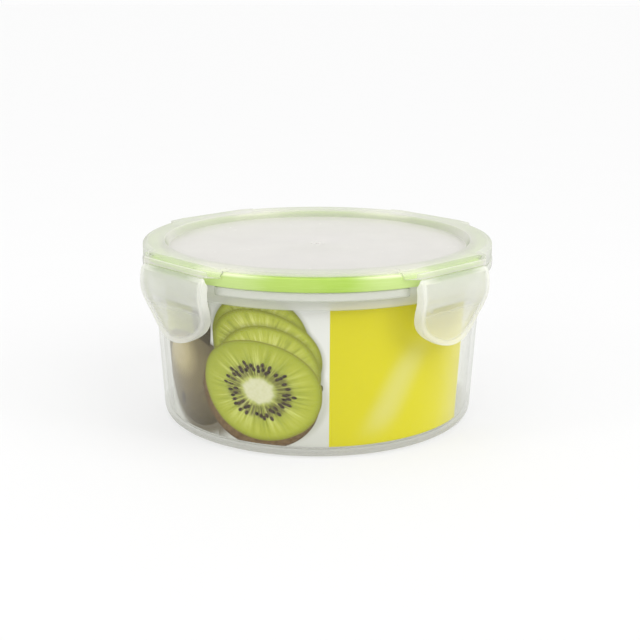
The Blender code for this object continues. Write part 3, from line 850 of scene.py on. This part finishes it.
def tub_mesh():
    """The flange is cut back to the neck in a pocket behind each clip."""
    full = tub_section()
    pocket = [(min(r, NECK_R) if z > LEDGE_Z else r, z) for r, z in full]

    def beside(centre, offset, profile):
        """A section at a fixed distance beside the clip's centre line, from the neck outward."""
        side, distance = math.copysign(1, offset), abs(offset)
        return [(centre + math.asin(distance / max(r, NECK_R)) * side, r, z) for r, z in profile]

    def sections(first_deg, span_deg, steps, profile):
        """Sections between two angles, both ends left out."""
        angles = [math.radians(first_deg + span_deg * k / steps) for k in range(1, steps)]
        return [[(angle, r, z) for r, z in profile] for angle in angles]

    outside = POCKET_HALF + POCKET_STEP
    edge = math.degrees(math.asin(outside / FLANGE_R))
    inner = math.degrees(math.asin(POCKET_HALF / NECK_R))
    stations = []
    for base in CENTRES:
        centre = math.radians(base)
        stations.append(beside(centre, -outside, full))
        stations.append(beside(centre, -POCKET_HALF, pocket))
        stations += sections(base - inner, 2 * inner, 20, pocket)
        stations.append(beside(centre, POCKET_HALF, pocket))
        stations.append(beside(centre, outside, full))
        stations += sections(base + edge, 90.0 - 2 * edge, 40, full)
    return loft("tub_shell", stations)


# ---- Lid: corners are (radius, height, rounding, steps) ----
BARE_RIM = [
    (64.3, TOP_Z - 0.06, 0.9, 6),
    (66.35, TOP_Z - 0.42, 0.3, 5),
    (RIM_R, TOP_Z - 0.66, 0.1, 4),
    (66.4, TOP_Z - 0.78, 0.05, 3),
    (66.2, TOP_Z - 0.84, 0.05, 3),
    (65.0, GROOVE_Z, 0.3, 3),
]
SKIRT_EDGE = [
    (64.2, TOP_Z - 0.06, 1.1, 6),
    (SKIRT_R - 0.05, TOP_Z - 0.75, 1.1, 5),
    (SKIRT_R, SKIRT_Z, 0.25, 4),
    (SKIRT_IN_R, SKIRT_Z, 0.15, 3),
    (SKIRT_IN_R, GROOVE_Z - 0.7, 0.3, 3),
    (SKIRT_IN_R - 0.75, GROOVE_Z, 0.2, 3),
]
LID_TOP = [
    (0.0, PANEL_Z + 0.14),
    (0.75, PANEL_Z + 0.14, 0.15, 3),
    (1.05, PANEL_Z - 0.18, 0.12, 3),
    (2.1, PANEL_Z - 0.18, 0.3, 3),
    (2.6, PANEL_Z, 0.3, 3),
    (30.0, PANEL_Z - 0.05),
    (56.25, PANEL_Z, 0.55, 6),
    (57.6, TOP_Z - 0.12, 0.8, 8),
    (61.2, TOP_Z, 2.0, 4),
]
LID_UNDER = [
    (59.6, GROOVE_Z, 0.3, 3),
    (59.15, GROOVE_Z - 0.5, 0.3, 3),
    (58.9, PLUG_Z, 0.5, 5),
    (57.6, PLUG_Z, 0.5, 5),
    (56.4, PANEL_Z - PANEL_T, 0.8, 5),
    (30.0, PANEL_Z - PANEL_T - 0.05),
    (0.0, PANEL_Z - PANEL_T),
]
# Radii of the facet, brow and land at the shoulder
SHOULDER_FACET_R, SHOULDER_BROW_R, SHOULDER_LAND_R = 65.9, 67.75, 67.95


def lid_edge(delta, skirt):
    """Outer corners of the lid delta degrees from a clip: flat land, shoulder, then bare rim or
    skirt."""
    if delta > SHOULDER + 0.05 and not skirt:
        return BARE_RIM
    cosine = math.cos(math.radians(min(delta, HINGE_END)))
    facet, brow, land = FACET_D / cosine, (LAND_D - 0.12) / cosine, LAND_D / cosine
    brow_z, inset = LAND_Z1, 0.0
    if delta > HINGE_END:
        blend = smooth01((delta - HINGE_END) / (SHOULDER - HINGE_END))
        facet = lerp(facet, SHOULDER_FACET_R, blend)
        brow = lerp(brow, SHOULDER_BROW_R, blend)
        land = lerp(land, SHOULDER_LAND_R, blend)
        brow_z = lerp(brow_z, TOP_Z - 0.35, blend)
        if not skirt:
            inset = 0.35 * smooth01((delta - SHOULDER + 0.35) / 0.35)
    corners = [
        (facet - inset, TOP_Z - 0.04, 0.9, 6),
        (brow - inset, brow_z, 0.35, 5),
        (land - inset, LAND_Z0, 0.25, 4),
        (LAND_IN_R, LAND_Z0, 0.1, 3),
        (LAND_IN_R, LAND_Z0 + 0.45, 0.1, 3),
        (65.3, GROOVE_Z - 0.3, 0.3, 3),
    ]
    if delta > SHOULDER:
        blend = smooth01((delta - SHOULDER) / SKIRT_RUN)
        corners = [
            (*(lerp(high[i], low[i], blend) for i in range(3)), high[3])
            for high, low in zip(corners, SKIRT_EDGE)
        ]
    return corners


def lid_section(angle_deg):
    edge = lid_edge(from_clip(angle_deg), covered(angle_deg))
    angle = math.radians(angle_deg)
    return [(angle, radius, z) for radius, z in fillet(LID_TOP + edge + LID_UNDER)]


def countdown(start, stop, step):
    """Values from start down, all above stop."""
    values = []
    while start > stop:
        values.append(start)
        start -= step
    return values


def lid_mesh():
    # degrees from a clip's centre line, outermost first
    side = [SHOULDER - drop for drop in (0.0, 0.12, 0.25, 0.45)]
    side += countdown(SHOULDER - 0.9, HINGE_END, 0.45)
    side.append(HINGE_END)
    side += countdown(HINGE_END - 0.9, 0.5, 1.2)
    free = 44

    def run(skirt):
        """Offsets past a clip's zone, from the outermost in."""
        if skirt:
            return [SHOULDER + SKIRT_RUN * k / 8 for k in range(8, 0, -1)]
        return [SHOULDER + 0.22]

    stations = []
    for base in CENTRES:
        before, after = run(covered(base - 45.0)), run(covered(base + 45.0))
        offsets = [-offset for offset in before + side] + [0.0] + side[::-1] + after[::-1]
        offsets += [after[0] + (90.0 - 2 * after[0]) * k / free for k in range(1, free)]
        stations += [lid_section(base + offset) for offset in offsets]
    return loft("lid_shell", stations)


# ---- Seal ----
SEAL_SKIRT_R = SKIRT_IN_R - 0.32
# Outer radius and the two upper outer corners under the bare rim, a hinge land and a skirt
SEAL_EDGES = {
    "bare": (
        SEAL_R,
        (SEAL_R - 0.12, SEAL_Z1 - 0.12, 0.5, 6),
        (65.0, GROOVE_Z - 0.35, 0.4, 4),
    ),
    "hinge": (
        SEAL_R,
        (SEAL_R - 0.02, LAND_Z0 + 0.02, 0.5, 6),
        (64.9, GROOVE_Z - 0.65, 0.4, 4),
    ),
    "skirt": (
        SEAL_SKIRT_R,
        (SEAL_SKIRT_R - 0.1, GROOVE_Z - 0.85, 0.5, 6),
        (SEAL_SKIRT_R - 0.75, GROOVE_Z - 0.35, 0.4, 4),
    ),
}


def seal_section(angle_deg, zone):
    outer, *edge = SEAL_EDGES[zone]
    points = fillet(
        [
            (59.65, 61.6, 0.25, 3),
            (60.3, 61.6, 0.25, 3),
            (60.35, 64.0, 0.25, 3),
            (62.85, 64.0, 0.25, 3),
            (62.9, SEAL_Z0, 0.3, 4),
            (outer - 0.12, SEAL_Z0, 0.45, 6),
            (outer, 62.9, 3.0, 4),
            *edge,
            (60.1, GROOVE_Z - 0.35, 0.3, 3),
            (59.65, GROOVE_Z - 0.8, 0.3, 3),
        ],
        closed=True,
    )
    angle = math.radians(angle_deg)
    return [(angle, radius, z) for radius, z in points]


def seal_mesh():
    free = 44

    def zone(skirt):
        """What covers the seal, the last hinge offset and the first offset past it."""
        if skirt:
            return "skirt", SHOULDER - 0.9, SHOULDER - 0.45
        return "bare", SHOULDER + 0.35, SHOULDER + 0.6

    stations = []
    for base in CENTRES:
        before, low_before, free_before = zone(covered(base - 45.0))
        after, low_after, free_after = zone(covered(base + 45.0))
        stations.append(seal_section(base - free_before, before))
        for k in range(25):
            offset = lerp(-low_before, low_after, k / 24)
            stations.append(seal_section(base + offset, "hinge"))
        for k in range(free):
            step = (90.0 - 2 * free_after) * k / free
            stations.append(seal_section(base + free_after + step, after))
    return loft("seal_ring", stations, closed_profile=True)


# ---- Clips ----
def clip_front(z):
    """Distance of the front face from the axis: bevel, bulge, waist, then out to the tip."""
    bulge_z, bulge = CLIP_BULGE
    waist_z, waist = CLIP_WAIST
    tip_z, tip = CLIP_TIP
    if z >= CLIP_TOP:
        return lerp(CLIP_TOP_D, CLIP_CREST_D, (z - CLIP_TOP) / (CLIP_CREST - CLIP_TOP))
    if z >= bulge_z:
        t = (CLIP_TOP - z) / (CLIP_TOP - bulge_z)
        return lerp(CLIP_TOP_D, bulge, 1 - (1 - t) ** 2)
    if z >= waist_z:
        t = (bulge_z - z) / (bulge_z - waist_z)
        return lerp(bulge, waist, t * t * (3 - 2 * t))
    t = (waist_z - z) / (waist_z - tip_z)
    return lerp(waist, tip, t * t)


def clip_outline(inset):
    """(half width, height) down one side, from the top edge to the middle of the tip."""
    half = CLIP_HALF - inset
    top = CLIP_CREST - inset * 0.9
    corner = max(0.3, 1.3 - inset)
    points = [((half - corner) * 0.5, top)]
    for angle in quarter(4):
        across = half - corner + corner * math.sin(angle)
        points.append((across, top - corner + corner * math.cos(angle)))
    straight = 18
    for k in range(1, straight):
        points.append((half, lerp(top - corner, CLIP_ROUND_Z, k / straight)))
    drop = CLIP_DROP - inset
    for angle in quarter(26)[:-1]:
        points.append((half * math.cos(angle), CLIP_ROUND_Z - drop * math.sin(angle)))
    points.append((0.0, CLIP_ROUND_Z - drop))
    return points


def clip_depth(z):
    """Depth of the border behind the front face."""
    if z > CLIP_CREST - 3.4:
        return lerp(CLIP_PLATE - 0.25, CLIP_SIDE, smooth01((CLIP_CREST - z) / 3.4))
    waist_z = CLIP_WAIST[0]
    if z > waist_z:
        return CLIP_SIDE
    return lerp(CLIP_SIDE, 2.2, smooth01((waist_z - z) / (waist_z - CLIP_TIP[0])))


def clip_rings():
    """Rings of the clip from the front face round the border to the plate's back, as (inset from
    the outline, True if depth is counted from the border's depth, depth)."""
    edge, lip, soft, soft_depth = 0.55, 0.35, 0.4, 0.2
    rings = [(inset, False, 0.0) for inset in (2.6, 2.0, 1.4)]
    for a in quarter(5):  # rounded outer edge
        rings.append((edge * (1 - math.sin(a)), False, edge * (1 - math.cos(a))))
    for a in quarter(3):  # border's outer lip
        rings.append((lip * (1 - math.cos(a)), True, -lip * (1 - math.sin(a))))
    for a in quarter(3):  # border's inner lip
        rings.append((CLIP_RIB - lip * (1 - math.sin(a)), True, -lip * (1 - math.cos(a))))
    for a in quarter(3):  # soft corner where the border meets the plate
        depth = CLIP_PLATE + soft_depth * (1 - math.sin(a))
        rings.append((CLIP_RIB + soft * (1 - math.cos(a)), False, depth))
    return rings


def clip_plate_mesh():
    bm = bmesh.new()
    loops = []
    for inset, from_border, depth in clip_rings():
        side = clip_outline(inset)
        loop = []
        for across, z in side + [(-across, z) for across, z in side[-2::-1]]:
            behind = depth + clip_depth(z) if from_border else depth
            loop.append(hinge_vert(bm, across, clip_front(z) - behind, z))
        loops.append(loop)
    for ring, after in zip(loops, loops[1:]):
        bridge(bm, ring, after)
    fill_cap(bm, loops[0])
    fill_cap(bm, loops[-1])
    return new_mesh("clip_plate", bm)


def clip_nose_mesh():
    """Bar across the inside of the clip, reaching in under the tub's ledge."""
    bm = bmesh.new()
    low = NOSE_Z - 1.9
    section = fillet(
        [
            (clip_front(NOSE_Z) - 0.7, NOSE_Z),
            (NOSE_D, NOSE_Z, 0.35, 4),
            (NOSE_D, NOSE_Z - 1.15, 0.45, 4),
            (clip_front(low) - 0.7, low),
        ]
    )
    left, right = [
        [hinge_vert(bm, x, distance, z) for distance, z in section]
        for x in (-NOSE_HALF, NOSE_HALF)
    ]
    bridge(bm, left, right)
    bm.faces.new(left)
    bm.faces.new(right[::-1])
    return new_mesh("clip_nose", bm)


def clip_mesh():
    """One clip about its hinge line, plate and nose in one."""
    plate = new_object("clip_plate_source", clip_plate_mesh())
    nose = new_object("clip_nose_source", clip_nose_mesh())
    union = plate.modifiers.new("latch_nose", "BOOLEAN")
    union.operation = "UNION"
    union.solver = "EXACT"
    union.object = nose
    bpy.context.view_layer.update()
    evaluated = plate.evaluated_get(bpy.context.evaluated_depsgraph_get())
    joined = bpy.data.meshes.new_from_object(evaluated)
    bpy.data.objects.remove(plate)
    bpy.data.objects.remove(nose)
    joined.shade_smooth()
    joined.set_sharp_from_angle(angle=math.radians(50))
    mark_border(joined)
    joined.materials.clear()
    joined.materials.append(CLIP)
    return joined


def mark_border(mesh):
    """Store 1 on the clip's border and 0 on its plate, for clip_shape."""
    border = mesh.attributes.new("border", "FLOAT", "POINT")
    for vert, item in zip(mesh.vertices, border.data):
        across, height = abs(vert.co.x) / MM, vert.co.z / MM + HINGE_Z
        if height > CLIP_ROUND_Z:
            from_edge = CLIP_HALF - across
        else:
            out = math.hypot(across / CLIP_HALF, (CLIP_ROUND_Z - height) / CLIP_DROP)
            from_edge = (1.0 - out) * min(CLIP_HALF, CLIP_DROP)
        item.value = smooth01((2.3 - from_edge) / 0.8)


def web_mesh():
    """Thin bending strip between the lid's hinge edge and the clip, waisted at half height."""
    bm = bmesh.new()
    rows, spans = 14, 24
    z0, z1 = LAND_Z0 + 0.12, CLIP_CREST - 0.12
    section = []
    for side, order in ((1, range(rows + 1)), (-1, range(rows, -1, -1))):
        for k in order:
            t = k / rows
            half_thick = 0.16 + 0.16 * (2 * t - 1) ** 2
            section.append((WEB_D + side * half_thick, lerp(z0, z1, t)))
    columns = []
    for i in range(spans + 1):
        x = lerp(-WEB_HALF, WEB_HALF, i / spans)
        columns.append([hinge_vert(bm, x, distance, z) for distance, z in section])
    for left, right in zip(columns, columns[1:]):
        bridge(bm, left, right)
    fill_cap(bm, columns[0])
    fill_cap(bm, columns[-1], flip=True)
    return new_mesh("hinge_web", bm, sharp=50)


# ---- Label ----
def label_mesh(start, stop):
    """The card, from angle start to stop. Its face is in three print areas; the back and edges
    are bare board."""
    bm = bmesh.new()
    rows = 24
    areas = [start, *(-math.pi / 2 + end / REACH for end in (FRUIT_END, PICTURE_END)), stop]
    marks = []
    for area, (first, last) in enumerate(zip(areas, areas[1:])):
        count = max(8, round((last - first) / math.radians(0.8)))
        marks += [(lerp(first, last, i / count), area) for i in range(count)]
    marks.append((stop, 2))
    columns = []
    for angle, area in marks:
        front, back = [], []
        for j in range(rows + 1):
            z = lerp(LABEL_Z0, LABEL_Z1, j / rows)
            radius = wall_radius(z) - WALL_T - LABEL_GAP
            front.append(polar_vert(bm, angle, radius, z))
            back.append(polar_vert(bm, angle, radius - LABEL_T, z))
        columns.append((front, back, area))
    for (front, back, area), (next_front, next_back, _) in zip(columns, columns[1:]):
        for j in range(rows):
            face = [front[j], next_front[j], next_front[j + 1], front[j + 1]]
            bm.faces.new(face).material_index = area
            face = [back[j], back[j + 1], next_back[j + 1], next_back[j]]
            bm.faces.new(face).material_index = BOARD
        bottom = [front[0], back[0], next_back[0], next_front[0]]
        bm.faces.new(bottom).material_index = BOARD
        top = [front[rows], next_front[rows], next_back[rows], back[rows]]
        bm.faces.new(top).material_index = BOARD
    for (front, back, _), flip in ((columns[0], False), (columns[-1], True)):
        fill_cap(bm, front + back[::-1], flip, BOARD)
    return new_mesh("label_card", bm, sharp=40)


def label_span():
    """The card's two ends, as angles, from the CAD card's own corners."""
    angles = []
    for vert in frame["nodes"]["label_insert"].data.vertices:
        angle = math.degrees(math.atan2(vert.co.y, vert.co.x))
        angles.append((angle - 270.0 + 180.0) % 360.0 - 180.0)
    stop = max(angles) - 90.0 + LABEL_OVERRUN
    return math.radians(min(angles) - 90.0), math.radians(stop)


# ---- Build ----
def hand_over(obj, part, carrier):
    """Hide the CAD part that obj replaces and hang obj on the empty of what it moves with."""
    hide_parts(part)
    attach(obj, carrier)


hand_over(new_object("tub_shell", tub_mesh(), TUB), "container_body", "container")
card = new_object("label_card", label_mesh(*label_span()), *CARD_MATERIALS)
hand_over(card, "label_insert", "container")
hand_over(new_object("lid_shell", lid_mesh(), LID), "lid", "lid")
hand_over(new_object("seal_ring", seal_mesh(), SEAL), "gasket", "lid")

clip_source = clip_mesh()
web_source = web_mesh()
for place, (angle, distance, z) in HINGES.items():
    spin = Matrix.Rotation(angle - math.pi / 2, 4, "Z")
    pivot = (distance * math.cos(angle) * MM, distance * math.sin(angle) * MM, z * MM)
    turn = Matrix.Translation(pivot) @ spin

    mesh = clip_source.copy()
    mesh.transform(turn)
    clip = new_object("clip_" + place + "_shell", mesh)
    hand_over(clip, "clip_" + place, "clip_" + place)

    mesh = web_source.copy()
    mesh.transform(turn)
    web = new_object("hinge_web_" + place, mesh, WEB)
    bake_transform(web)
    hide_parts("living_hinge_" + place)


# ---- Stage, light and camera, in metres ----
def floor_material():
    """Near-white paper with a glow of its own."""
    mat = Graph("studio_floor")
    grain = mat.noise(mat.vector(*mat.position()), scale=0.02, detail=2.0)
    tone = mat.mix(grain, (0.93, 0.93, 0.93, 1), (0.95, 0.95, 0.95, 1))
    paper = mat.made("ShaderNodeBsdfDiffuse", {"Color": tone})
    glow = mat.made("ShaderNodeEmission", {"Color": (1.0, 1.0, 1.0, 1), "Strength": 0.84})
    return mat.finish(mat.shader_mix(0.70, paper, glow))


def floor_mesh(half=30.0):
    bm = bmesh.new()
    corners = ((-1, -1), (1, -1), (1, 1), (-1, 1))
    bm.faces.new([bm.verts.new((x * half, y * half, 0.0)) for x, y in corners])
    return new_mesh("studio_floor", bm)


floor = new_object("studio_floor", floor_mesh(), floor_material())
floor.location.z = -0.00002

scene = bpy.context.scene


def build_world():
    """White all round; brighter to the camera than as a light."""
    world = bpy.data.worlds.new("studio")
    scene.world = world
    world.use_nodes = True
    tree = world.node_tree
    background = tree.nodes["Background"]
    background.inputs["Color"].default_value = (1.0, 1.0, 1.0, 1.0)
    path = tree.nodes.new("ShaderNodeLightPath")
    strength = tree.nodes.new("ShaderNodeMapRange")
    strength.inputs["To Min"].default_value = 0.74
    strength.inputs["To Max"].default_value = 0.985
    tree.links.new(path.outputs["Is Camera Ray"], strength.inputs["Value"])
    tree.links.new(strength.outputs["Result"], background.inputs["Strength"])


def add_light(name, kind, azimuth, elevation, distance, energy, **settings):
    """A light at a compass angle from the front, + towards +X, aimed at the container."""
    lamp = bpy.data.lights.new(name, kind)
    lamp.energy = energy
    for key, value in settings.items():
        setattr(lamp, key, value)
    obj = bpy.data.objects.new(name, lamp)
    scene.collection.objects.link(obj)
    turn, lift = math.radians(azimuth), math.radians(elevation)
    across, ahead = math.sin(turn) * math.cos(lift), -math.cos(turn) * math.cos(lift)
    spot_place = Vector((across, ahead, math.sin(lift))) * distance
    obj.rotation_euler = (-spot_place).to_track_quat("-Z", "Y").to_euler()
    spot_place.z += 0.03
    obj.location = spot_place
    return obj


build_world()
# name, azimuth, elevation, energy, spread in degrees
for name, azimuth, elevation, energy, spread in (
    ("key_right", 58, 42, 1.35, 50),
    ("fill_left", -55, 38, 0.45, 50),
    ("overhead", 5, 84, 0.75, 60),
):
    angle = math.radians(spread)
    sun = add_light(name, "SUN", azimuth, elevation, 1.0, energy, angle=angle)
    sun.visible_glossy = False
for name, azimuth in (("strip_left", -58), ("strip_right", 58)):
    add_light(
        name, "AREA", azimuth, elevation=30, distance=0.8, energy=0.7,
        shape="RECTANGLE", size=0.10, size_y=0.35,
    )

camera_data = bpy.data.cameras.new("camera")
camera = bpy.data.objects.new("camera", camera_data)
scene.collection.objects.link(camera)
scene.camera = camera
camera_data.sensor_width = 36.0
camera_data.lens = 66.48
camera_data.clip_start = 0.01
TURN = math.radians(1.75)  # the camera stands turned a little round the container
DISTANCE, HEIGHT = 0.4417, 0.1542
PITCH, YAW, ROLL = math.radians(-15.214), math.radians(-0.132), math.radians(0.095)
camera.matrix_world = (
    Matrix.Rotation(TURN, 4, "Z")
    @ Matrix.Translation((0.0, -DISTANCE, HEIGHT))
    @ Matrix.Rotation(YAW, 4, "Z")
    @ Matrix.Rotation(math.pi / 2 + PITCH, 4, "X")
    @ Matrix.Rotation(ROLL, 4, "Z")
)

scene.view_settings.view_transform = "Standard"
scene.view_settings.look = "None"
scene.cycles.max_bounces = 10
scene.cycles.diffuse_bounces = 5
scene.cycles.glossy_bounces = 4
scene.cycles.transmission_bounces = 6
scene.cycles.transparent_max_bounces = 32
scene.cycles.sample_clamp_indirect = 6.0
